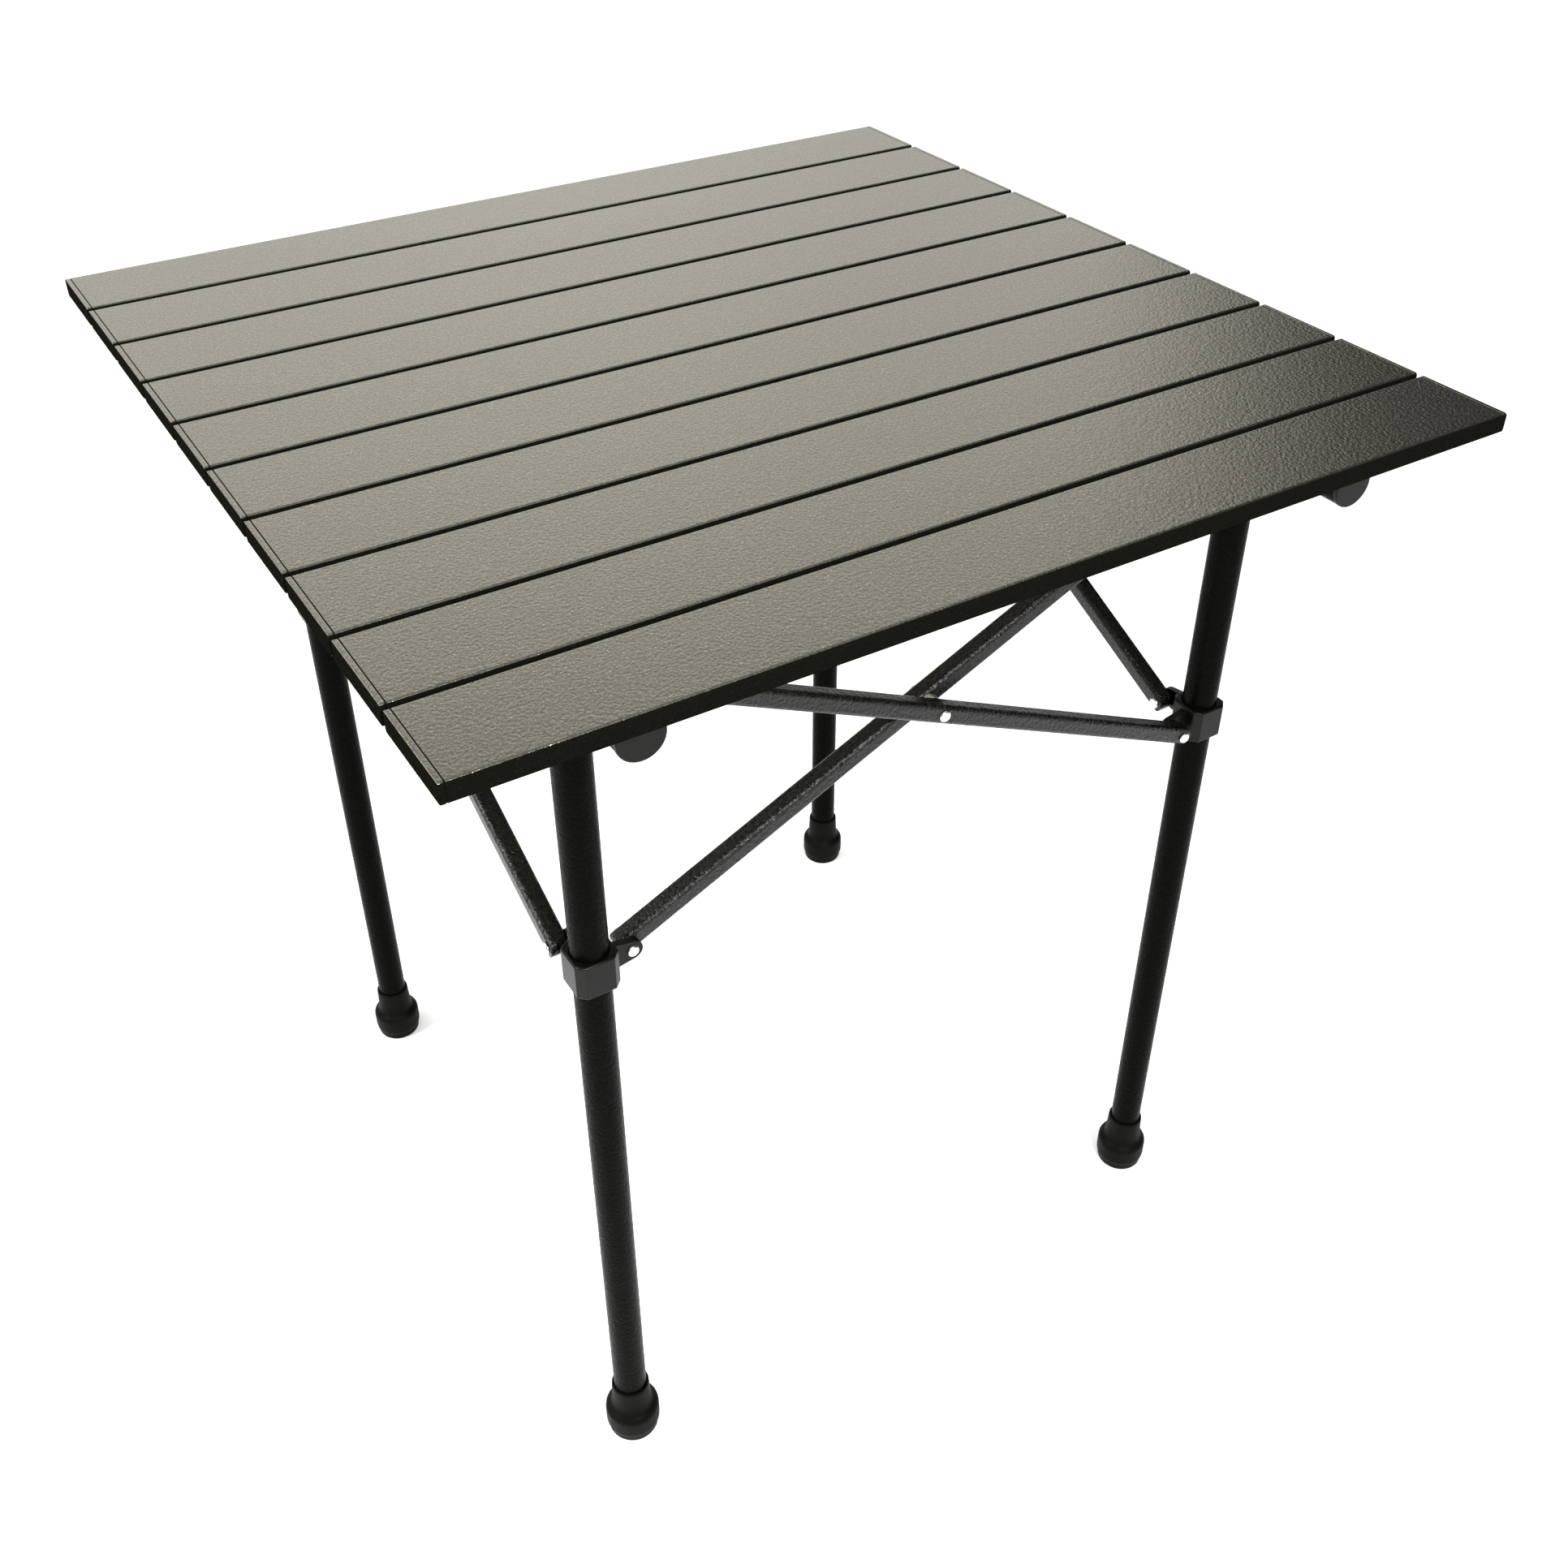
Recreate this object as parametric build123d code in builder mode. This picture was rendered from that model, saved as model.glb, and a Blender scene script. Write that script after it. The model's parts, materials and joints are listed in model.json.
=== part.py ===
"""Folding side table: a roll-up slatted top on two rails, carried by four legs
that four scissor pairs of braces tie together. Millimetres, +Z up, slats along X.
The origin is on the floor under the middle of the top."""

import os

from build123d import *

# ---- Driving dimensions ----

# Slatted top
table_height = 730.0
slat_length = 700.0  # along X, end caps included
slat_count = 10
slat_pitch = 70.0
slat_gap = 3.5
slat_thickness = 13.0
slat_edge_radius = 2.2
slat_wall = 1.0
slat_chambers = 3
slat_rib = 1.2
cap_plate = 3.5
cap_edge_radius = 0.8
cap_tongue = 12.0
cord_diameter = 4.0
cord_end_inset = 75.5  # from a slat's end to the elastic cord
cord_hole_clearance = 0.3
cord_joint_gap = 0.3  # between the cord lengths of neighbouring slats

# Rails under the top, along Y
rail_diameter = 28.0
rail_wall = 1.2
rail_inset = 17.0  # from the top's front edge to the rail's end
plug_lip = 0.3
plug_plate = 3.0
plug_edge_radius = 1.2
plug_depth = 14.0

# Legs, feet, heads and sliders
leg_spread = 484.0  # between the legs' axes, both ways
leg_diameter = 24.0
leg_wall = 1.2
foot_diameter = 40.0
foot_disc_height = 20.0
foot_shoulder_height = 26.0
foot_shoulder_diameter = 32.0
foot_height = 52.0
foot_sleeve_wall = 1.8
foot_sole = 6.0
foot_groove_height = 6.0
foot_groove_depth = 0.8
foot_edge_radius = 3.0
block_margin = 2.5  # of a head or slider beyond the leg, each side
block_corner_chamfer = 5.0
block_edge_chamfer = 1.0
slider_height = 26.0
head_depth = 24.0
head_top_wall = 5.0
head_pivot_drop = 9.1  # from a head's seat down to its pivots
upstand_thickness = 4.0
upstand_height = 17.0
upstand_foot = 3.0

# Ears, braces and rivets
ear_thickness = 5.0
ear_radius = 7.0
ear_root_height = 20.0
pivot_reach = 27.0  # from a leg's axis to its ears' pivots
brace_width = 13.0
brace_wall = 1.2
brace_corner_radius = 3.4
brace_end_plug = 16.0  # solid end, from the pivot inwards
brace_rise = 200.0  # from lower to upper pivots, table open
rivet_diameter = 5.0
rivet_head_diameter = 8.4
rivet_head_height = 1.6
rivet_head_taper = 25  # degrees
spacer_diameter = 12.0

# Clearances
press_clearance = 0.02  # pieces of one body
socket_clearance = 0.05
running_clearance = 0.06  # a brace on its rivet
slide_clearance = 0.2  # a slider on its leg
face_clearance = 0.3  # pieces that move past each other

# ---- Worked out from them ----

leg_radius = leg_diameter / 2
rail_radius = rail_diameter / 2
brace_half = brace_width / 2
leg_x = leg_spread / 2
pivot_x = leg_x - pivot_reach
block_size = leg_diameter + 2 * block_margin

top_depth = slat_count * slat_pitch - slat_gap
slat_width = slat_pitch - slat_gap
underside_z = table_height - slat_thickness
slat_mid_z = table_height - slat_thickness / 2
rail_z = underside_z - face_clearance - rail_radius - plug_lip
rail_end_y = top_depth / 2 - rail_inset
seat_z = rail_z - rail_radius - face_clearance
upper_pivot_z = seat_z - head_pivot_drop
lower_pivot_z = upper_pivot_z - brace_rise
leg_top_z = seat_z - head_top_wall

brace_offset = ear_thickness / 2 + face_clearance + brace_half
cross_gap = 2 * brace_offset - brace_width
slider_bottom_z = lower_pivot_z - slider_height / 2

CORNERS = ["front_left", "front_right", "back_right", "back_left"]
SIDES = ["front", "right", "back", "left"]
QUARTER = 90  # degrees between neighbouring corners, and neighbouring sides

os.makedirs("parts", exist_ok=True)


def save(piece, name):
    piece.part.label = name
    export_step(piece.part, f"parts/{name}.step")


# ---- Front-left corner and front side, from which the others are turned ----

# Upright planes through the corner's leg, along X and along Y. Each one's own x axis
# points back from the ears to the leg, so an ear's pivot is at x = pivot_x in both.
ear_planes = [
    Plane(origin=(0, -leg_x, 0), x_dir=(-1, 0, 0), z_dir=(0, 1, 0)),
    Plane(origin=(-leg_x, 0, 0), x_dir=(0, -1, 0), z_dir=(-1, 0, 0)),
]


def block(bottom_z, height):
    """The eight-sided body of a head or a slider, round the leg's axis."""
    with BuildSketch(Plane.XY.offset(bottom_z)) as outline:
        with Locations((-leg_x, -leg_x)):
            Rectangle(block_size, block_size)
        chamfer(outline.vertices(), block_corner_chamfer)
    extrude(outline.sketch, amount=height)


def ears(pivot_z, root_height):
    """Two flat ears at a right angle, each with a hole for its rivet."""
    for plane in ear_planes:
        with BuildSketch(plane) as ear:
            with Locations((pivot_x, pivot_z)):
                Circle(ear_radius)
            with Locations((leg_x, pivot_z)):
                Rectangle(leg_diameter, root_height)
            make_hull()
            with Locations((pivot_x, pivot_z)):
                Circle(rivet_diameter / 2 + press_clearance, mode=Mode.SUBTRACT)
        extrude(ear.sketch, amount=ear_thickness / 2, both=True)


def bore(bottom_z, height, radius):
    """A round hole upwards from bottom_z, on the leg's axis."""
    with BuildSketch(Plane.XY.offset(bottom_z)) as hole:
        with Locations((-leg_x, -leg_x)):
            Circle(radius)
    extrude(hole.sketch, amount=height, mode=Mode.SUBTRACT)


with BuildPart() as leg:
    with BuildSketch(Plane.XY.offset(foot_sole)):
        with Locations((-leg_x, -leg_x)):
            Circle(leg_radius)
            Circle(leg_radius - leg_wall, mode=Mode.SUBTRACT)
    extrude(amount=leg_top_z - foot_sole)

with BuildPart() as foot:
    sleeve_bore = leg_radius + socket_clearance
    with BuildSketch(Plane(origin=(-leg_x, -leg_x, 0), x_dir=(1, 0, 0), z_dir=(0, -1, 0))):
        with BuildLine():
            Polyline(
                (0, 0),
                (foot_diameter / 2, 0),
                (foot_diameter / 2, foot_disc_height),
                (foot_shoulder_diameter / 2, foot_shoulder_height),
                (sleeve_bore + foot_sleeve_wall, foot_height),
                (sleeve_bore, foot_height),
                (sleeve_bore, foot_sole - socket_clearance),
                (0, foot_sole - socket_clearance),
                close=True,
            )
        make_face()
        with Locations((foot_diameter / 2, foot_groove_height)):
            Circle(foot_groove_depth, mode=Mode.SUBTRACT)
    revolve(axis=Axis((-leg_x, -leg_x, 0), (0, 0, 1)))
    shoulder = foot.edges().filter_by_position(Axis.Z, foot_disc_height - 0.1, foot_disc_height + 0.1)
    fillet(shoulder, foot_edge_radius)

with BuildPart() as slider:
    block(slider_bottom_z, slider_height)
    chamfer(slider.faces().filter_by(Axis.Z).edges(), block_edge_chamfer)
    ears(lower_pivot_z, ear_root_height)
    bore(slider_bottom_z, slider_height, leg_radius + slide_clearance)

with BuildPart() as head:
    block(seat_z - head_depth, head_depth)
    chamfer(head.faces().sort_by(Axis.Z)[0].edges(), block_edge_chamfer)
    ears(upper_pivot_z, 2 * ear_radius)
    bore(seat_z - head_depth, head_depth - head_top_wall, leg_radius + socket_clearance)


def brace(depth_sign, lean):
    """A square tube with round solid ends. depth_sign is -1 for the outer brace of the
    front side and 1 for the inner one; lean is 1 where it rises towards +X."""
    side_y = -leg_x + depth_sign * brace_offset
    low = Vector(-lean * pivot_x, side_y, lower_pivot_z)
    high = Vector(lean * pivot_x, side_y, upper_pivot_z)
    span = (high - low).length
    middle = (low + high) / 2
    along = (high - low).normalized()
    across = Plane(origin=middle, x_dir=(0, 1, 0), z_dir=along)
    flat = Plane(origin=middle, x_dir=along, z_dir=(0, 1, 0))
    with BuildPart() as tube:
        with BuildSketch(across):
            RectangleRounded(brace_width, brace_width, brace_corner_radius)
        extrude(amount=span / 2 + brace_half, both=True)
        with BuildSketch(flat):
            SlotCenterToCenter(span, brace_width)
        extrude(amount=brace_half, both=True, mode=Mode.INTERSECT)
        hollow = brace_width - 2 * brace_wall
        with BuildSketch(across):
            RectangleRounded(hollow, hollow, brace_corner_radius - brace_wall)
        extrude(amount=span / 2 - brace_end_plug, both=True, mode=Mode.SUBTRACT)
        with BuildSketch(flat):
            with GridLocations(span / 2, 0, 3, 1):
                Circle(rivet_diameter / 2 + running_clearance)
        extrude(amount=brace_half, both=True, mode=Mode.SUBTRACT)
    return tube


outer_brace = brace(-1, lean=-1)
inner_brace = brace(1, lean=1)


def rivet(plane, start, end):
    """A shank along the plane's normal with a tapered head beyond each end."""
    with BuildSketch(plane.offset(start)) as shank:
        Circle(rivet_diameter / 2)
    extrude(shank.sketch, amount=end - start)
    for place, way in ((start, -1), (end, 1)):
        with BuildSketch(plane.offset(place)) as rivet_head:
            Circle(rivet_head_diameter / 2)
        extrude(rivet_head.sketch, amount=way * rivet_head_height, taper=rivet_head_taper)


def ear_rivets(pivot_z, first_outside):
    """The two rivets of a corner. Each holds one brace, one outside its ear, one inside."""
    ear_face = ear_thickness / 2
    brace_face = brace_offset + brace_half + face_clearance
    first = Plane(origin=(-pivot_x, -leg_x, pivot_z), z_dir=(0, -1, 0))
    second = Plane(origin=(-leg_x, -pivot_x, pivot_z), z_dir=(-1, 0, 0))
    outside, inside = (first, second) if first_outside else (second, first)
    rivet(outside, -ear_face, brace_face)
    rivet(inside, -brace_face, ear_face)


with BuildPart() as head_rivets:
    ear_rivets(upper_pivot_z, first_outside=True)

with BuildPart() as slider_rivets:
    ear_rivets(lower_pivot_z, first_outside=False)

with BuildPart() as cross_rivet:
    crossing = Plane(origin=(0, -leg_x, (lower_pivot_z + upper_pivot_z) / 2), z_dir=(0, -1, 0))
    outer_face = brace_offset + brace_half
    rivet(crossing, -outer_face - face_clearance, outer_face + press_clearance)
    with BuildSketch(crossing.offset(face_clearance - cross_gap / 2)):
        Circle(spacer_diameter / 2)
    extrude(amount=cross_gap - face_clearance - press_clearance)

# ---- The four corners and sides ----

turned_sets = [
    (CORNERS, "leg", leg),
    (CORNERS, "foot", foot),
    (CORNERS, "slider", slider),
    (CORNERS, "slider_rivets", slider_rivets),
    (CORNERS, "head_rivets", head_rivets),
    (SIDES, "outer_brace", outer_brace),
    (SIDES, "inner_brace", inner_brace),
    (SIDES, "cross_rivet", cross_rivet),
]
for places, kind, pattern in turned_sets:
    for turns, place in enumerate(places):
        with BuildPart() as copy:
            add(pattern.part, rotation=(0, 0, QUARTER * turns))
        save(copy, f"{kind}_{place}")

# A head's upstand stands beside its rail, on the side towards the middle of the table,
# so that the folding legs move away from under the rails or along them.
upstand_x = leg_x - rail_radius - face_clearance - upstand_thickness / 2
for turns, corner in enumerate(CORNERS):
    side_x = 1 if "right" in corner else -1
    side_y = 1 if "back" in corner else -1
    with BuildPart() as corner_head:
        add(head.part, rotation=(0, 0, QUARTER * turns))
        with BuildSketch(Plane.XY.offset(seat_z - upstand_foot)):
            with Locations((side_x * upstand_x, side_y * leg_x)):
                Rectangle(upstand_thickness, block_size - 2 * block_corner_chamfer)
        extrude(amount=upstand_foot + upstand_height)
        with BuildSketch(Plane.XY.offset(seat_z - upstand_foot)):
            with Locations((side_x * (upstand_x + leg_x) / 2, side_y * leg_x)):
                Rectangle(leg_x - upstand_x, block_size - 2 * block_corner_chamfer)
        extrude(amount=upstand_foot)
    save(corner_head, f"head_{corner}")

# ---- Rails ----

for side_x, side in ((-1, "left"), (1, "right")):
    rail_plane = Plane(origin=(side_x * leg_x, 0, rail_z), x_dir=(1, 0, 0), z_dir=(0, 1, 0))
    with BuildPart() as rail:
        with BuildSketch(rail_plane):
            Circle(rail_radius)
            Circle(rail_radius - rail_wall, mode=Mode.SUBTRACT)
        extrude(amount=rail_end_y - plug_plate, both=True)
    save(rail, f"rail_{side}")

    with BuildPart() as rail_plugs:
        with BuildSketch(rail_plane.offset(rail_end_y - plug_plate)):
            Circle(rail_radius + plug_lip)
        extrude(amount=plug_plate)
        fillet(rail_plugs.edges().sort_by(Axis.Y)[-1], plug_edge_radius)
        with BuildSketch(rail_plane.offset(rail_end_y - plug_plate)):
            Circle(rail_radius - rail_wall - press_clearance)
        extrude(amount=-plug_depth)
        mirror(about=Plane.XZ)
    save(rail_plugs, f"rail_plugs_{side}")

# ---- Slatted top, slat 1 at the back ----

chamber_room = slat_width - 2 * slat_wall - (slat_chambers - 1) * slat_rib
chamber_width = chamber_room / slat_chambers
chamber_height = slat_thickness - 2 * slat_wall
chamber_radius = slat_edge_radius - slat_wall
cord_x = slat_length / 2 - cord_end_inset
body_half = slat_length / 2 - cap_plate


def chambers(clearance):
    """The slat's hollow chambers in section, or what fits in them with a clearance."""
    with GridLocations(chamber_width + slat_rib, 0, slat_chambers, 1):
        RectangleRounded(
            chamber_width - 2 * clearance, chamber_height - 2 * clearance, chamber_radius - clearance
        )


for number in range(1, slat_count + 1):
    slat_y = (top_depth - slat_width) / 2 - (number - 1) * slat_pitch
    section = Plane(origin=(0, slat_y, slat_mid_z), x_dir=(0, 1, 0), z_dir=(1, 0, 0))
    crosswise = Plane(origin=(0, slat_y, slat_mid_z), x_dir=(-1, 0, 0), z_dir=(0, 1, 0))
    # The elastic cords are knotted inside the first and last slats.
    back_end = 0 if number == 1 else 1
    front_end = 0 if number == slat_count else 1

    with BuildPart() as slat:
        with BuildSketch(section):
            RectangleRounded(slat_width, slat_thickness, slat_edge_radius)
            with BuildSketch(mode=Mode.PRIVATE) as hollows:
                chambers(0)
            add(hollows.sketch, mode=Mode.SUBTRACT)
        extrude(amount=body_half, both=True)
        for reach in (back_end * slat_width / 2, -front_end * slat_width / 2):
            if reach:
                with BuildSketch(crosswise):
                    with GridLocations(2 * cord_x, 0, 2, 1):
                        Circle(cord_diameter / 2 + cord_hole_clearance)
                extrude(amount=reach, mode=Mode.SUBTRACT)
    save(slat, f"slat_{number:02d}")

    with BuildPart() as fittings:
        with BuildSketch(section.offset(body_half)):
            RectangleRounded(slat_width, slat_thickness, slat_edge_radius)
        extrude(amount=cap_plate)
        fillet(fittings.faces().sort_by(Axis.X)[-1].edges(), cap_edge_radius)
        with BuildSketch(section.offset(body_half)):
            chambers(socket_clearance)
        extrude(amount=-cap_tongue)
        mirror(about=Plane.YZ)
        for end in (back_end, -front_end):
            if end:
                with BuildSketch(crosswise):
                    with GridLocations(2 * cord_x, 0, 2, 1):
                        Circle(cord_diameter / 2)
                extrude(amount=end * (slat_pitch - cord_joint_gap) / 2)
    save(fittings, f"slat_fittings_{number:02d}")
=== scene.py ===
"""Looks of a folding side table with a roll-up slatted top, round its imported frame."""

import json
import math

import bmesh
import bpy
from mathutils import Matrix, Vector


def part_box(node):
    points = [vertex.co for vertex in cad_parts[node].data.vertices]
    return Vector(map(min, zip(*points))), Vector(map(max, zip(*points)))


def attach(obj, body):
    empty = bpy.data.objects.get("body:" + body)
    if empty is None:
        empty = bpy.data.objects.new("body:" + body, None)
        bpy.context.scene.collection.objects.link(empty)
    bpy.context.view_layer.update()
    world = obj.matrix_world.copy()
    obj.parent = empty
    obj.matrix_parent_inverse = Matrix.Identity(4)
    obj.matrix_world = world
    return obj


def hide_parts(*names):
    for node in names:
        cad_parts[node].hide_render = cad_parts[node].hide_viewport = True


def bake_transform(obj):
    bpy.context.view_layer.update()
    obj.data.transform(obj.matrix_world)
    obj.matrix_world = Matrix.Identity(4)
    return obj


bl_info = {
    "name": "Folding Slatted Side Table",
    "version": (1, 0, 0),
    "blender": (4, 5, 0),
    "location": "3D View > Sidebar > Slat Table",
    "description": "Finishes the slats, frame, fittings and feet of a folding side table",
    "category": "Object",
}

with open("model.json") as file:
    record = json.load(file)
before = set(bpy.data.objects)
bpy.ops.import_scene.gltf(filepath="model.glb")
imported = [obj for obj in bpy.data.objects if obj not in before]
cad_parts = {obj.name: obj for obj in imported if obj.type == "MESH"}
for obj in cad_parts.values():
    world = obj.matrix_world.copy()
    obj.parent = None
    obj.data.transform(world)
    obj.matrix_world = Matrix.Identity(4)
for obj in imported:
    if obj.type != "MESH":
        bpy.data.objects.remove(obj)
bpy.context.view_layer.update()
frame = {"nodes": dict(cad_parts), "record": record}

CORNERS = ["front_left", "front_right", "back_right", "back_left"]
SIDES = ["front", "right", "back", "left"]
RAILS = ["left", "right"]
SLATS = [f"{number:02d}" for number in range(1, 11)]
IMAGE_SIZE = 1932
SENSOR_WIDTH = 36.0


# ---- Properties ----


class TableFinish(bpy.types.PropertyGroup):
    """Colours and grain of the table's finishes."""

    slat_colour: bpy.props.FloatVectorProperty(
        name="Slat colour",
        description="Textured coat on the slats' faces",
        subtype="COLOR",
        size=3,
        default=(0.335, 0.319, 0.262),
    )
    # painted shade: a near-black coat for the slats' sideways faces, standing in for the dark
    # surroundings they reflect
    painted_side_shade_colour: bpy.props.FloatVectorProperty(
        name="Edge colour",
        description="Dark coat on the slats' sides and the ends of their caps",
        subtype="COLOR",
        size=3,
        default=(0.0045, 0.0045, 0.0033),
    )
    frame_colour: bpy.props.FloatVectorProperty(
        name="Frame colour",
        description="Black coat on legs, braces and rails",
        subtype="COLOR",
        size=3,
        default=(0.0012, 0.0013, 0.0009),
    )
    plastic_colour: bpy.props.FloatVectorProperty(
        name="Fitting colour",
        description="Moulded heads, sliders and plugs",
        subtype="COLOR",
        size=3,
        default=(0.0018, 0.0018, 0.0014),
    )
    rubber_colour: bpy.props.FloatVectorProperty(
        name="Rubber colour",
        description="The four feet",
        subtype="COLOR",
        size=3,
        default=(0.0016, 0.0016, 0.0012),
    )
    steel_colour: bpy.props.FloatVectorProperty(
        name="Rivet colour",
        description="Bright rivets at the brace pivots",
        subtype="COLOR",
        size=3,
        default=(0.78, 0.77, 0.74),
    )
    cord_colour: bpy.props.FloatVectorProperty(
        name="Cord colour",
        description="Elastic cords through the slats",
        subtype="COLOR",
        size=3,
        default=(0.22, 0.215, 0.20),
    )
    grain_size: bpy.props.FloatProperty(
        name="Coat grain",
        description="Width of one bump of the slats' textured coat",
        default=0.0022,
        unit="LENGTH",
    )


class TableStage(bpy.types.PropertyGroup):
    """Camera and light."""

    camera_place: bpy.props.FloatVectorProperty(
        name="Camera place",
        description="Where the camera stands",
        subtype="TRANSLATION",
        size=3,
        default=(-0.5237, -0.9149, 1.1777),
    )
    camera_azimuth: bpy.props.FloatProperty(
        name="Camera azimuth",
        description="Turn of the view from straight at the front, towards the right",
        subtype="ANGLE",
        default=math.radians(31.88),
    )
    camera_drop: bpy.props.FloatProperty(
        name="Camera drop",
        description="Angle by which the camera looks down",
        subtype="ANGLE",
        default=math.radians(36.26),
    )
    focal_length: bpy.props.FloatProperty(
        name="Focal length",
        description="Lens, for a sensor 36 mm wide",
        default=38.38,
        unit="CAMERA",
    )
    floor_colour: bpy.props.FloatVectorProperty(
        name="Floor colour",
        description="Plain pale floor",
        subtype="COLOR",
        size=3,
        default=(0.97, 0.97, 0.97),
    )
    light_strength: bpy.props.FloatProperty(
        name="Light strength",
        description="Strength of the soft studio light all round",
        default=1.0,
    )


# ---- Material helpers ----


def new_material(name):
    material = bpy.data.materials.new(name)
    material.use_nodes = True
    return material, material.node_tree, material.node_tree.nodes["Principled BSDF"]


def link(tree, source, target):
    tree.links.new(source, target)


def object_coordinates(tree):
    return tree.nodes.new("ShaderNodeTexCoord").outputs["Object"]


def noise(tree, coordinates, scale, detail=2.0, roughness=0.5):
    """A noise pattern; scale is in cells per metre."""
    node = tree.nodes.new("ShaderNodeTexNoise")
    node.inputs["Scale"].default_value = scale
    node.inputs["Detail"].default_value = detail
    node.inputs["Roughness"].default_value = roughness
    link(tree, coordinates, node.inputs["Vector"])
    return node.outputs["Fac"]


def ramp(tree, factor, stops):
    """A colour ramp; stops are (position, colour) pairs, a colour being a grey or three values."""
    node = tree.nodes.new("ShaderNodeValToRGB")
    elements = node.color_ramp.elements
    while len(elements) < len(stops):
        elements.new(0.5)
    for element, (position, colour) in zip(elements, stops):
        channels = (colour,) * 3 if isinstance(colour, (int, float)) else tuple(colour)
        element.position = position
        element.color = (*channels, 1.0)
    link(tree, factor, node.inputs["Fac"])
    return node.outputs["Color"]


def bump(tree, shader, height, distance, strength):
    """Relief from a pattern; distance is its depth in metres."""
    node = tree.nodes.new("ShaderNodeBump")
    node.inputs["Strength"].default_value = strength
    node.inputs["Distance"].default_value = distance
    link(tree, height, node.inputs["Height"])
    link(tree, node.outputs["Normal"], shader.inputs["Normal"])


def calculate(tree, operation, *values):
    """Arithmetic on two values, each a socket or a number."""
    node = tree.nodes.new("ShaderNodeMath")
    node.operation = operation
    for value, target in zip(values, node.inputs):
        if isinstance(value, float):
            target.default_value = value
        else:
            link(tree, value, target)
    return node.outputs[0]


def set_surface(tree, shader, base, rough, specular=0.5, metallic=0.0):
    """Colour and roughness from patterns, with constant levels of gloss and metal."""
    link(tree, base, shader.inputs["Base Color"])
    link(tree, rough, shader.inputs["Roughness"])
    shader.inputs["Specular IOR Level"].default_value = specular
    shader.inputs["Metallic"].default_value = metallic


def shade(colour, factor):
    return tuple(channel * factor for channel in colour)


def shaded_ramp(tree, factor, colour, stops):
    """Shades of one colour; stops are (position, shade) pairs."""
    return ramp(tree, factor, [(position, shade(colour, level)) for position, level in stops])


# ---- Materials ----

MIX_FIRST, MIX_SECOND, MIX_RESULT = 6, 7, 2  # the Mix node's sockets for colours

# patterns: cells or bands per metre, but times the coat's own cells where finer
MOTTLE_FINER = 1.7
GLINT_FLECKS_FINER = 2.6
HAMMERED_CELLS = 420.0
PLASTIC_CELLS = 1400.0
RUBBER_CELLS = 1100.0
DUST_CELLS = 60.0
WEAR_CELLS = 700.0
BRAID_BANDS = 320.0
BRAID_SLANT = 0.7

# ramps: a place in the pattern, then the shade, share of painted glint specks or roughness there
COAT_SHADES = ((0.30, 0.80), (0.50, 1.0), (0.70, 1.22))
COAT_GLINT_FLECKS = ((0.74, 0.0), (0.80, 1.0))
COAT_ROUGHNESS = ((0.3, 0.17), (0.7, 0.27))
HAMMERED_SHADES = ((0.35, 0.75), (0.68, 1.5))
HAMMERED_ROUGHNESS = ((0.3, 0.22), (0.7, 0.36))
PLASTIC_SHADES = ((0.3, 0.8), (0.7, 1.35))
PLASTIC_ROUGHNESS = ((0.3, 0.30), (0.7, 0.44))
RUBBER_SHADES = ((0.45, 1.0), (0.8, 2.2))
RUBBER_ROUGHNESS = ((0.3, 0.42), (0.7, 0.60))
STEEL_SHADES = ((0.3, 0.8), (0.65, 1.0))
STEEL_ROUGHNESS = ((0.3, 0.22), (0.7, 0.38))
BRAID_SHADES = ((0.2, 0.5), (0.8, 1.0))
BRAID_ROUGHNESS = 0.8
# painted glints: how much brighter than the coat its bright specks are
GLINT_FLECK_SHADE = 2.1


def textured_coat(name, colour, finish, metallic, specular):
    """Textured metallic powder coat: fine lumps, mottled, with a few bright specks that are painted
    glints.
    """
    material, tree, shader = new_material(name)
    where = object_coordinates(tree)
    cells = 1.0 / finish.grain_size
    lumps = noise(tree, where, cells, detail=3.0, roughness=0.55)
    mottle = noise(tree, where, cells * MOTTLE_FINER)
    glint_flecks = noise(tree, where, cells * GLINT_FLECKS_FINER, detail=0.0)
    mix = tree.nodes.new("ShaderNodeMix")
    mix.data_type = "RGBA"
    link(tree, ramp(tree, glint_flecks, COAT_GLINT_FLECKS), mix.inputs["Factor"])
    link(tree, shaded_ramp(tree, mottle, colour, COAT_SHADES), mix.inputs[MIX_FIRST])
    # painted glints: the bright specks get a much lighter colour than the coat
    mix.inputs[MIX_SECOND].default_value = (*shade(colour, GLINT_FLECK_SHADE), 1.0)
    rough = ramp(tree, lumps, COAT_ROUGHNESS)
    set_surface(tree, shader, mix.outputs[MIX_RESULT], rough, specular, metallic)
    bump(tree, shader, lumps, distance=0.00036, strength=0.8)
    return material


def slat_coat(finish):
    return textured_coat("slat_coat", finish.slat_colour, finish, metallic=0.97, specular=0.5)


def painted_side_shade_coat(finish):
    """Painted shade: matt and near black, for the slats' sides and the caps' ends, standing in for
    the dark surroundings these faces reflect.
    """
    return textured_coat("painted_side_shade_coat", finish.painted_side_shade_colour, finish, metallic=0.0, specular=0.0)


def hammered_coat(name, finish, specular, depth):
    """Black hammered coat: shallow dimples that break up the highlights."""
    material, tree, shader = new_material(name)
    dimples = noise(tree, object_coordinates(tree), HAMMERED_CELLS, detail=2.5, roughness=0.6)
    base = shaded_ramp(tree, dimples, finish.frame_colour, HAMMERED_SHADES)
    set_surface(tree, shader, base, ramp(tree, dimples, HAMMERED_ROUGHNESS), specular)
    bump(tree, shader, dimples, distance=depth, strength=0.8)
    return material


def frame_coat(finish):
    return hammered_coat("frame_coat", finish, specular=0.02, depth=0.0006)


def brace_coat(finish):
    """Glossier and more deeply hammered than the legs' coat."""
    return hammered_coat("brace_coat", finish, specular=0.30, depth=0.0013)


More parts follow.
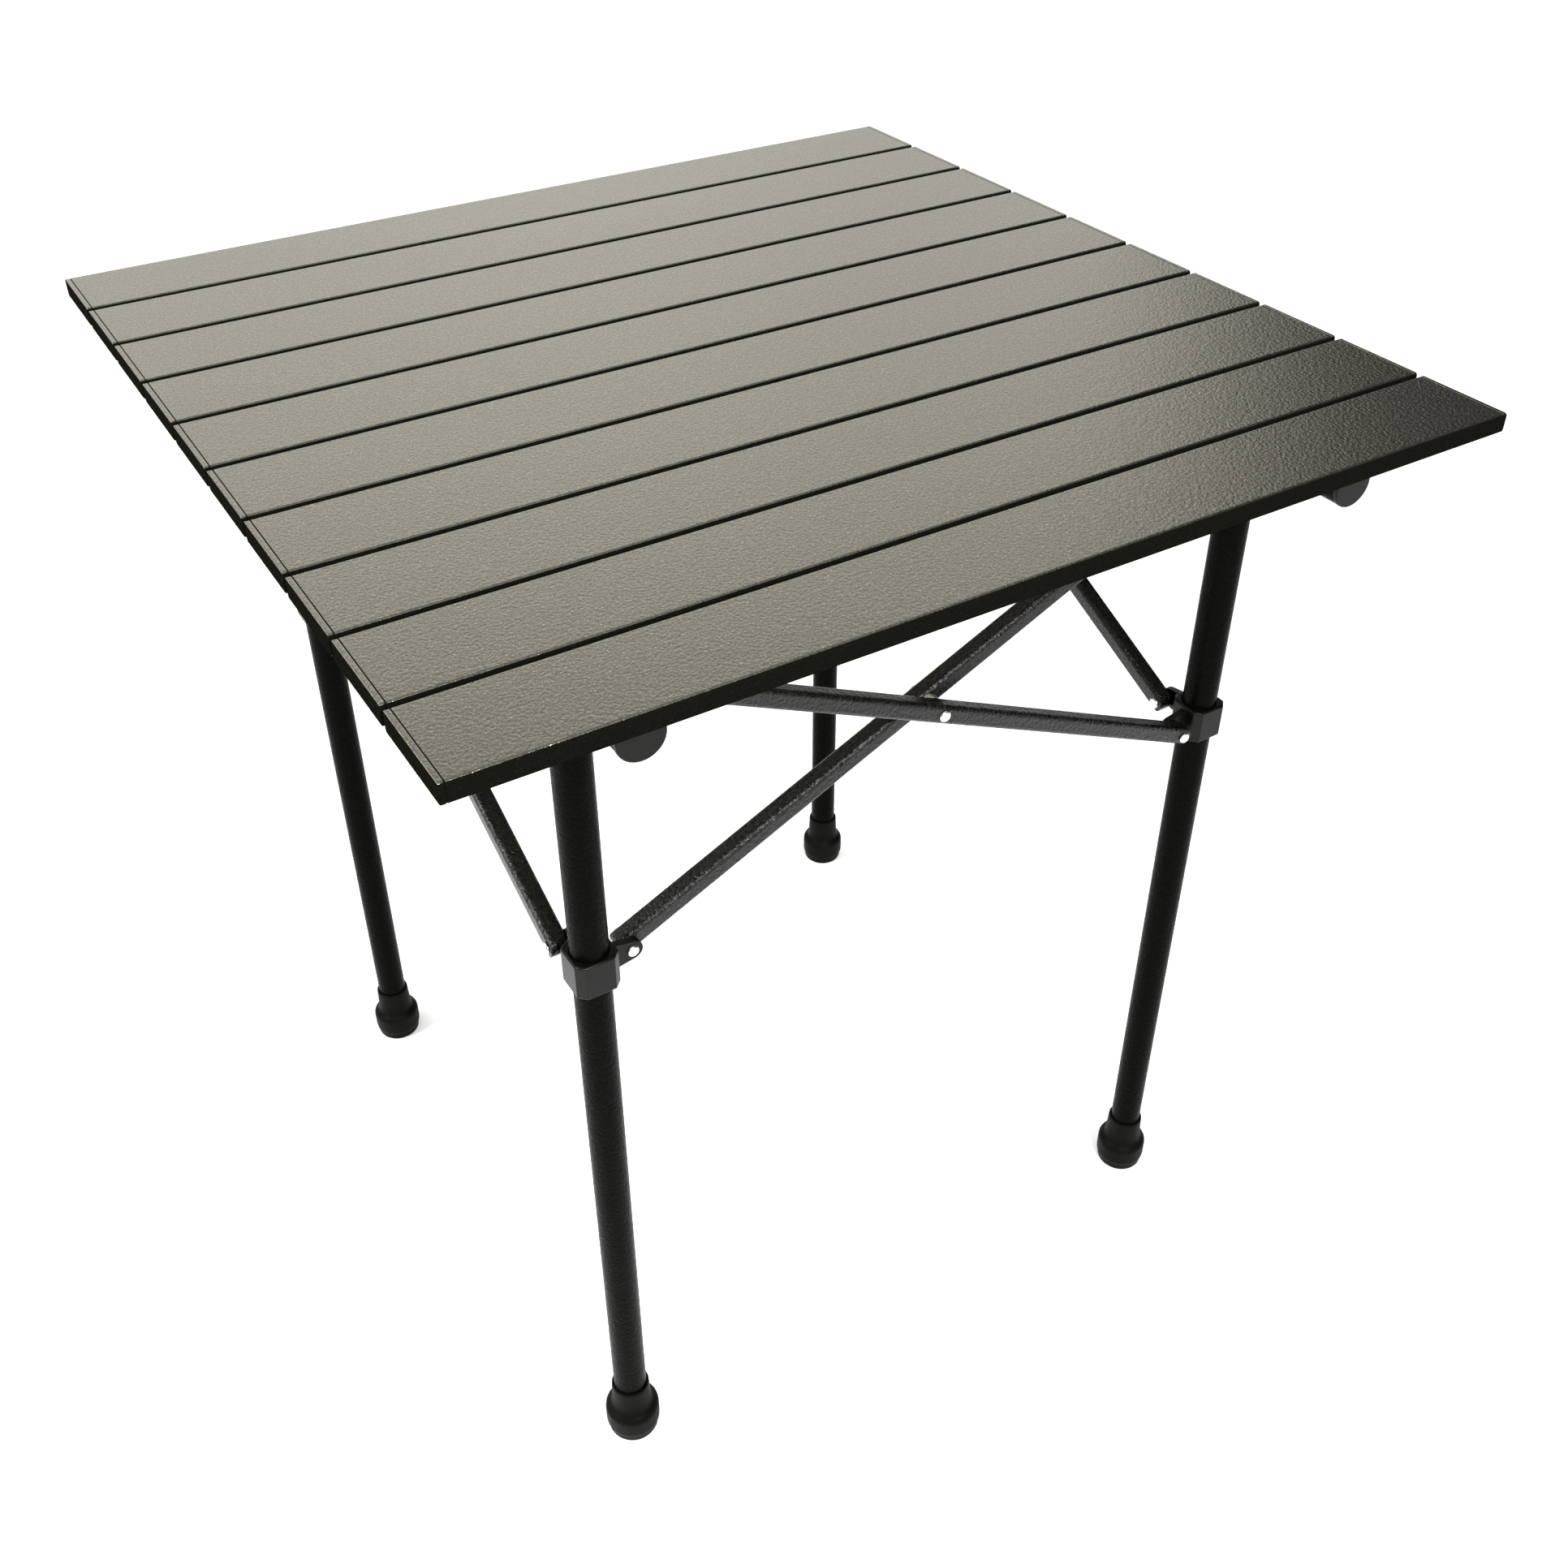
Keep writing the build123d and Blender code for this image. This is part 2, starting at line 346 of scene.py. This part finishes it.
def fitting_plastic(finish):
    """Satin moulded plastic with a fine grain."""
    material, tree, shader = new_material("fitting_plastic")
    grain = noise(tree, object_coordinates(tree), PLASTIC_CELLS)
    base = shaded_ramp(tree, grain, finish.plastic_colour, PLASTIC_SHADES)
    set_surface(tree, shader, base, ramp(tree, grain, PLASTIC_ROUGHNESS), specular=0.15)
    bump(tree, shader, grain, distance=0.00008, strength=0.5)
    return material


def foot_rubber(finish):
    """Matt rubber, a little dusty."""
    material, tree, shader = new_material("foot_rubber")
    where = object_coordinates(tree)
    grain = noise(tree, where, RUBBER_CELLS, detail=3.0)
    dust = noise(tree, where, DUST_CELLS, detail=3.0)
    base = shaded_ramp(tree, dust, finish.rubber_colour, RUBBER_SHADES)
    set_surface(tree, shader, base, ramp(tree, grain, RUBBER_ROUGHNESS), specular=0.05)
    bump(tree, shader, grain, distance=0.0001, strength=0.5)
    return material


def rivet_steel(finish):
    """Bright steel with slight wear."""
    material, tree, shader = new_material("rivet_steel")
    wear = noise(tree, object_coordinates(tree), WEAR_CELLS, detail=3.0)
    base = shaded_ramp(tree, wear, finish.steel_colour, STEEL_SHADES)
    set_surface(tree, shader, base, ramp(tree, wear, STEEL_ROUGHNESS), metallic=1.0)
    bump(tree, shader, wear, distance=0.00005, strength=0.3)
    return material


def cord_braid(finish):
    """Braided sleeve: two crossing sets of fine bands."""
    material, tree, shader = new_material("cord_braid")
    where = object_coordinates(tree)
    waves = []
    for slant in (BRAID_SLANT, -BRAID_SLANT):
        mapping = tree.nodes.new("ShaderNodeMapping")
        mapping.inputs["Rotation"].default_value = (0.0, 0.0, slant)
        link(tree, where, mapping.inputs["Vector"])
        wave = tree.nodes.new("ShaderNodeTexWave")
        wave.inputs["Scale"].default_value = BRAID_BANDS
        link(tree, mapping.outputs["Vector"], wave.inputs["Vector"])
        waves.append(wave.outputs["Fac"])
    cross = calculate(tree, "MAXIMUM", *waves)
    base = shaded_ramp(tree, cross, finish.cord_colour, BRAID_SHADES)
    link(tree, base, shader.inputs["Base Color"])
    shader.inputs["Roughness"].default_value = BRAID_ROUGHNESS
    bump(tree, shader, cross, distance=0.0002, strength=0.6)
    return material


FINISHES = {}


def finish_for(name, maker):
    """One material of each kind, made when it is first wanted."""
    if name not in FINISHES:
        FINISHES[name] = maker(bpy.context.scene.table_finish)
    return FINISHES[name]


# ---- Shape helpers ----

SHARP_ANGLE = math.radians(32)
FLAT_ANGLE = math.radians(0.4)
WELD = 1e-6


def is_sharp(edge):
    return edge.is_manifold and edge.calc_face_angle() > SHARP_ANGLE


def finish_mesh(shape, mesh):
    """Smooth faces with creases at sharp edges, pointing outwards."""
    for face in shape.faces:
        face.smooth = True
    for edge in shape.edges:
        edge.smooth = not is_sharp(edge)
    shape.to_mesh(mesh)
    shape.free()


def add_piece(name, shape, material, body, nodes=()):
    """Makes a bmesh a piece that rides on a body and stands for some CAD nodes."""
    mesh = bpy.data.meshes.new(name)
    finish_mesh(shape, mesh)
    mesh.materials.append(material)
    piece = bpy.data.objects.new(name, mesh)
    bpy.context.collection.objects.link(piece)
    normals = piece.modifiers.new("even_normals", "WEIGHTED_NORMAL")
    normals.keep_sharp = True
    if body:
        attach(piece, body)
    if nodes:
        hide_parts(*nodes)
    return piece


# faces steeper than this get the painted side shade
UPRIGHT = 0.75  # least upward part of a top or bottom face's normal


def paint_side_shade(piece, shade_material):
    """Paints shade: gives the faces that look sideways the second material, a near-black coat in
    place of the dark surroundings they reflect.
    """
    piece.data.materials.append(shade_material)
    for face in piece.data.polygons:
        face.material_index = 0 if abs(face.normal.z) > UPRIGHT else 1


def bevel(shape, edges, width, segments=2):
    bmesh.ops.bevel(
        shape,
        geom=edges,
        offset=width,
        offset_type="OFFSET",
        affect="EDGES",
        segments=segments,
        profile=0.5,
        material=-1,
        clamp_overlap=True,
    )


def sharp_edges(shape):
    return [edge for edge in shape.edges if is_sharp(edge)]


def eased_copy(node, body, material, width, segments=2):
    """A copy of a CAD node with its sharp edges rounded, as a moulding or cut tube has them."""
    shape = bmesh.new()
    shape.from_mesh(frame["nodes"][node].data)
    bmesh.ops.remove_doubles(shape, verts=shape.verts, dist=WELD)
    bmesh.ops.dissolve_limit(shape, angle_limit=FLAT_ANGLE, verts=shape.verts, edges=shape.edges)
    bevel(shape, sharp_edges(shape), width, segments)
    return add_piece(f"{node}_piece", shape, material, body, (node,))


def block(shape, low, high):
    """A box between two corners."""
    size = [b - a for a, b in zip(low, high)]
    middle = [(a + b) / 2 for a, b in zip(low, high)]
    place = Matrix.Translation(middle) @ Matrix.Diagonal((*size, 1.0))
    return bmesh.ops.create_cube(shape, size=1.0, matrix=place)["verts"]


def turned(shape, profile, middle):
    """A closed solid of revolution about a vertical line; the profile is (radius, height) pairs."""
    rings = []
    for radius, height in profile:
        ring = []
        for step in range(TURN_STEPS):
            angle = math.tau * step / TURN_STEPS
            offset = Vector((radius * math.cos(angle), radius * math.sin(angle), height))
            ring.append(shape.verts.new(middle + offset))
        rings.append(ring)
    for lower, upper in zip(rings, rings[1:]):
        for step in range(TURN_STEPS):
            after = (step + 1) % TURN_STEPS
            shape.faces.new((lower[step], lower[after], upper[after], upper[step]))
    shape.faces.new(reversed(rings[0]))
    shape.faces.new(rings[-1])


def edges_of(verts, wanted):
    found = {edge for vert in verts for edge in vert.link_edges}
    return [edge for edge in found if wanted(edge)]


def runs_along(axis):
    """Picks edges that run along X, Y or Z (0, 1 or 2)."""
    others = [other for other in range(3) if other != axis]
    return lambda edge: all(
        abs(edge.verts[0].co[other] - edge.verts[1].co[other]) < WELD for other in others
    )


# ---- Sizes ----

TURN_STEPS = 64
FOOT_PROFILE = (  # radius and height, in metres
    (0.0165, 0.0000),
    (0.0178, 0.0006),
    (0.0184, 0.0018),
    (0.0186, 0.0045),
    (0.0190, 0.0070),
    (0.0198, 0.0088),
    (0.0200, 0.0110),
    (0.0200, 0.0215),
    (0.0198, 0.0236),
    (0.0190, 0.0254),
    (0.0176, 0.0266),
    (0.0162, 0.0276),
    (0.0152, 0.0292),
    (0.0147, 0.0325),
    (0.0143, 0.0400),
    (0.0140, 0.0480),
    (0.0138, 0.0510),
    (0.0134, 0.0519),
    (0.0128, 0.0520),
)
TUBE_EASE = 0.0003
FITTING_EASE = 0.0006
RIVET_EASE = 0.0007
RIVET_EASE_STEPS = 3
SLAT_EDGE = 0.0020
SLAT_EDGE_STEPS = 4
SLAT_END_EASE = 0.0005
CAP_EASE = 0.0007
CORD_X = 0.2745  # either side of the middle
CORD_RADIUS = 0.0019
CORD_HALF = 0.012  # half of the length across a gap
CORD_SEGMENTS = 16
CORD_CUTS = 15


# ---- Operators ----

BODY_OF = {
    node: body for body, nodes in frame["record"]["behaviour"]["bodies"].items() for node in nodes
}


class TABLE_OT_frame_tubes(bpy.types.Operator):
    """Makes the legs, braces and rails"""

    bl_idname = "table.frame_tubes"
    bl_label = "Make Frame Tubes"

    def execute(self, context):
        coat = finish_for("frame", frame_coat)
        for name in [f"leg_{corner}" for corner in CORNERS] + [f"rail_{side}" for side in RAILS]:
            eased_copy(name, BODY_OF[name], coat, TUBE_EASE, 1)
        coat = finish_for("brace", brace_coat)
        for name in [f"{kind}_brace_{side}" for kind in ("outer", "inner") for side in SIDES]:
            eased_copy(name, BODY_OF[name], coat, TUBE_EASE, 1)
        return {"FINISHED"}


class TABLE_OT_fittings(bpy.types.Operator):
    """Makes the heads, sliders and rail plugs"""

    bl_idname = "table.fittings"
    bl_label = "Make Fittings"

    def execute(self, context):
        plastic = finish_for("plastic", fitting_plastic)
        names = [f"{kind}_{corner}" for kind in ("head", "slider") for corner in CORNERS]
        names += [f"rail_plugs_{side}" for side in RAILS]
        for name in names:
            eased_copy(name, BODY_OF[name], plastic, FITTING_EASE)
        return {"FINISHED"}


class TABLE_OT_feet(bpy.types.Operator):
    """Makes the rubber feet"""

    bl_idname = "table.feet"
    bl_label = "Make Feet"

    def execute(self, context):
        rubber = finish_for("rubber", foot_rubber)
        for corner in CORNERS:
            node = f"foot_{corner}"
            low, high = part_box(node)
            middle = Vector(((low[0] + high[0]) / 2, (low[1] + high[1]) / 2, low[2]))
            shape = bmesh.new()
            turned(shape, FOOT_PROFILE, middle)
            add_piece(f"{node}_piece", shape, rubber, BODY_OF[node], (node,))
        return {"FINISHED"}


class TABLE_OT_rivets(bpy.types.Operator):
    """Makes the rivets"""

    bl_idname = "table.rivets"
    bl_label = "Make Rivets"

    def execute(self, context):
        steel = finish_for("steel", rivet_steel)
        names = [f"{kind}_rivets_{corner}" for kind in ("head", "slider") for corner in CORNERS]
        for name in names + [f"cross_rivet_{side}" for side in SIDES]:
            eased_copy(name, BODY_OF[name], steel, RIVET_EASE, RIVET_EASE_STEPS)
        return {"FINISHED"}


class TABLE_OT_slats(bpy.types.Operator):
    """Makes the slats and their end caps"""

    bl_idname = "table.slats"
    bl_label = "Make Slats"

    def execute(self, context):
        coat = finish_for("slat", slat_coat)
        # painted shade for the sideways faces of slats and caps
        edge = finish_for("edge", painted_side_shade_coat)
        for number in SLATS:
            low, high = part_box(f"slat_{number}")
            shape = bmesh.new()
            verts = block(shape, low, high)
            bevel(shape, edges_of(verts, runs_along(0)), SLAT_EDGE, SLAT_EDGE_STEPS)
            bevel(shape, sharp_edges(shape), SLAT_END_EASE, 1)
            node = f"slat_{number}"
            # the slat's sideways faces get the painted shade
            paint_side_shade(add_piece(f"{node}_piece", shape, coat, BODY_OF[node], (node,)), edge)

            outer_low, outer_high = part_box(f"slat_fittings_{number}")
            shape = bmesh.new()
            for inner, outer in ((low[0], outer_low[0]), (high[0], outer_high[0])):
                ends = sorted((inner, outer))
                cap_verts = block(shape, (ends[0], low[1], low[2]), (ends[1], high[1], high[2]))
                bevel(shape, edges_of(cap_verts, runs_along(0)), SLAT_EDGE, SLAT_EDGE_STEPS)
            bevel(shape, sharp_edges(shape), CAP_EASE, 2)
            node = f"slat_fittings_{number}"
            # the caps' sideways faces get the painted shade
            paint_side_shade(add_piece(f"end_caps_{number}", shape, coat, BODY_OF[node], (node,)), edge)
        return {"FINISHED"}


class TABLE_OT_cords(bpy.types.Operator):
    """Makes the elastic cords where they cross the gaps between slats"""

    bl_idname = "table.cords"
    bl_label = "Make Cords"

    def execute(self, context):
        braid = finish_for("cord", cord_braid)
        for number, following in zip(SLATS, SLATS[1:]):
            near_low, near_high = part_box(f"slat_{following}")
            far_low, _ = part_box(f"slat_{number}")
            gap_y = (near_high[1] + far_low[1]) / 2
            mid_z = (near_low[2] + near_high[2]) / 2
            shape = bmesh.new()
            for side in (-1, 1):
                turn = Matrix.Rotation(math.pi / 2, 4, "X")
                place = Matrix.Translation((side * CORD_X, gap_y, mid_z)) @ turn
                made = bmesh.ops.create_cone(
                    shape,
                    cap_ends=True,
                    segments=CORD_SEGMENTS,
                    radius1=CORD_RADIUS,
                    radius2=CORD_RADIUS,
                    depth=2 * CORD_HALF,
                    matrix=place,
                )["verts"]
                sides = edges_of(made, runs_along(1))
                bmesh.ops.subdivide_edges(shape, edges=sides, cuts=CORD_CUTS)
            name = f"cords_{number}_{following}"
            cord = add_piece(name, shape, braid, None)
            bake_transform(cord)
        return {"FINISHED"}


class TABLE_OT_stage(bpy.types.Operator):
    """Sets the floor, lights and camera"""

    bl_idname = "table.stage"
    bl_label = "Set Stage"

    def execute(self, context):
        stage = context.scene.table_stage
        add_floor(stage)
        add_world(stage)
        add_lights()
        add_camera(stage)
        context.scene.view_settings.view_transform = "Standard"
        return {"FINISHED"}


# ---- Stage ----

FLOOR_SIZE = 40.0
FLOOR_ROUGHNESS = 0.9
FLOOR_SPECULAR = 0.1
PRINCIPAL_X = 968.5  # the lens axis in an image IMAGE_SIZE wide
PRINCIPAL_Y = 904.0
DARK_AZIMUTH = math.radians(100)
DARK_SIDE = (math.sin(DARK_AZIMUTH), math.cos(DARK_AZIMUTH), 0.0)
# how bright the studio looks in gloss, by the part of a direction towards the dark side and upwards
SIDEWAYS = (
    (0.03, 0.88),
    (0.23, 0.94),
    (0.33, 0.88),
    (0.42, 0.78),
    (0.545, 0.88),
    (0.575, 0.08),
    (0.59, 0.0),
)
UPWARDS = ((0.49, 1.0), (0.54, 0.80), (0.58, 0.36), (0.75, 0.30))
GLOSS_STRENGTH = 1.06
LIGHTS = (  # name, place, size in metres and power in watts
    ("key", (-1.6, 1.2, 2.6), 2.2, 30.0),
    ("front", (-0.3, -1.7, 1.8), 0.35, 42.0),
    ("left", (-2.1, 0.1, 1.7), 0.35, 42.0),
)
LIGHTS_AIM = (0.0, 0.0, 0.5)


def add_floor(stage):
    mesh = bpy.data.meshes.new("floor")
    shape = bmesh.new()
    bmesh.ops.create_grid(shape, x_segments=1, y_segments=1, size=FLOOR_SIZE / 2)
    shape.to_mesh(mesh)
    shape.free()
    floor = bpy.data.objects.new("floor", mesh)
    bpy.context.collection.objects.link(floor)
    material, _, shader = new_material("floor_paint")
    shader.inputs["Base Color"].default_value = (*stage.floor_colour, 1.0)
    shader.inputs["Roughness"].default_value = FLOOR_ROUGHNESS
    shader.inputs["Specular IOR Level"].default_value = FLOOR_SPECULAR
    mesh.materials.append(material)


def background(tree, strength):
    node = tree.nodes.new("ShaderNodeBackground")
    node.inputs["Color"].default_value = (1.0, 1.0, 1.0, 1.0)
    node.inputs["Strength"].default_value = strength
    return node


def mix_shaders(tree, factor, first, second):
    node = tree.nodes.new("ShaderNodeMixShader")
    link(tree, factor, node.inputs["Fac"])
    link(tree, first, node.inputs[1])
    link(tree, second, node.inputs[2])
    return node.outputs["Shader"]


def add_world(stage):
    """White to the camera, and in gloss a studio that darkens to the right and overhead."""
    world = bpy.data.worlds.new("studio")
    world.use_nodes = True
    tree = world.node_tree
    path = tree.nodes.new("ShaderNodeLightPath").outputs
    heading = tree.nodes.new("ShaderNodeTexCoord").outputs["Generated"]
    towards = tree.nodes.new("ShaderNodeVectorMath")
    towards.operation = "DOT_PRODUCT"
    towards.inputs[1].default_value = DARK_SIDE
    link(tree, heading, towards.inputs[0])
    height = tree.nodes.new("ShaderNodeSeparateXYZ")
    link(tree, heading, height.inputs[0])
    sideways = ramp(tree, towards.outputs["Value"], SIDEWAYS)
    level = calculate(tree, "MULTIPLY", sideways, GLOSS_STRENGTH)
    level = calculate(tree, "MULTIPLY", ramp(tree, height.outputs["Z"], UPWARDS), level)
    gloss = background(tree, 1.0)
    link(tree, level, gloss.inputs["Strength"])
    light = background(tree, stage.light_strength)
    white = background(tree, 1.0)
    through = calculate(tree, "MAXIMUM", path["Is Camera Ray"], path["Is Transmission Ray"])
    shown = mix_shaders(tree, path["Is Glossy Ray"], light.outputs[0], gloss.outputs[0])
    shown = mix_shaders(tree, through, shown, white.outputs[0])
    link(tree, shown, tree.nodes["World Output"].inputs["Surface"])
    bpy.context.scene.world = world


def add_lights():
    for name, place, size, power in LIGHTS:
        lamp = bpy.data.lights.new(name, "AREA")
        lamp.size = size
        lamp.energy = power
        holder = bpy.data.objects.new(name, lamp)
        holder.location = place
        aim = Vector(LIGHTS_AIM) - Vector(place)
        holder.rotation_euler = aim.to_track_quat("-Z", "Y").to_euler()
        bpy.context.collection.objects.link(holder)


def add_camera(stage):
    lens = bpy.data.cameras.new("camera")
    lens.sensor_width = SENSOR_WIDTH
    lens.lens = stage.focal_length
    lens.shift_x = (IMAGE_SIZE / 2 - PRINCIPAL_X) / IMAGE_SIZE
    lens.shift_y = (PRINCIPAL_Y - IMAGE_SIZE / 2) / IMAGE_SIZE
    camera = bpy.data.objects.new("camera", lens)
    camera.location = stage.camera_place
    camera.rotation_euler = (math.pi / 2 - stage.camera_drop, 0.0, -stage.camera_azimuth)
    bpy.context.collection.objects.link(camera)
    bpy.context.scene.camera = camera


# ---- Panel and run ----

OPERATORS = (
    TABLE_OT_slats,
    TABLE_OT_cords,
    TABLE_OT_frame_tubes,
    TABLE_OT_fittings,
    TABLE_OT_feet,
    TABLE_OT_rivets,
    TABLE_OT_stage,
)


class TABLE_PT_build(bpy.types.Panel):
    """Lists the steps that finish the table"""

    bl_label = "Slat Table"
    bl_idname = "TABLE_PT_build"
    bl_space_type = "VIEW_3D"
    bl_region_type = "UI"
    bl_category = "Slat Table"

    def draw(self, context):
        for operator in OPERATORS:
            self.layout.operator(operator.bl_idname)
        for group in (context.scene.table_finish, context.scene.table_stage):
            for name in group.__annotations__:
                self.layout.prop(group, name)


CLASSES = (TableFinish, TableStage, *OPERATORS, TABLE_PT_build)


def register():
    for item in CLASSES:
        bpy.utils.register_class(item)
    bpy.types.Scene.table_finish = bpy.props.PointerProperty(type=TableFinish)
    bpy.types.Scene.table_stage = bpy.props.PointerProperty(type=TableStage)


def unregister():
    del bpy.types.Scene.table_stage
    del bpy.types.Scene.table_finish
    for item in reversed(CLASSES):
        bpy.utils.unregister_class(item)


def main():
    register()
    for operator in OPERATORS:
        group, name = operator.bl_idname.split(".")
        getattr(getattr(bpy.ops, group), name)()


if __name__ == "__main__":
    main()
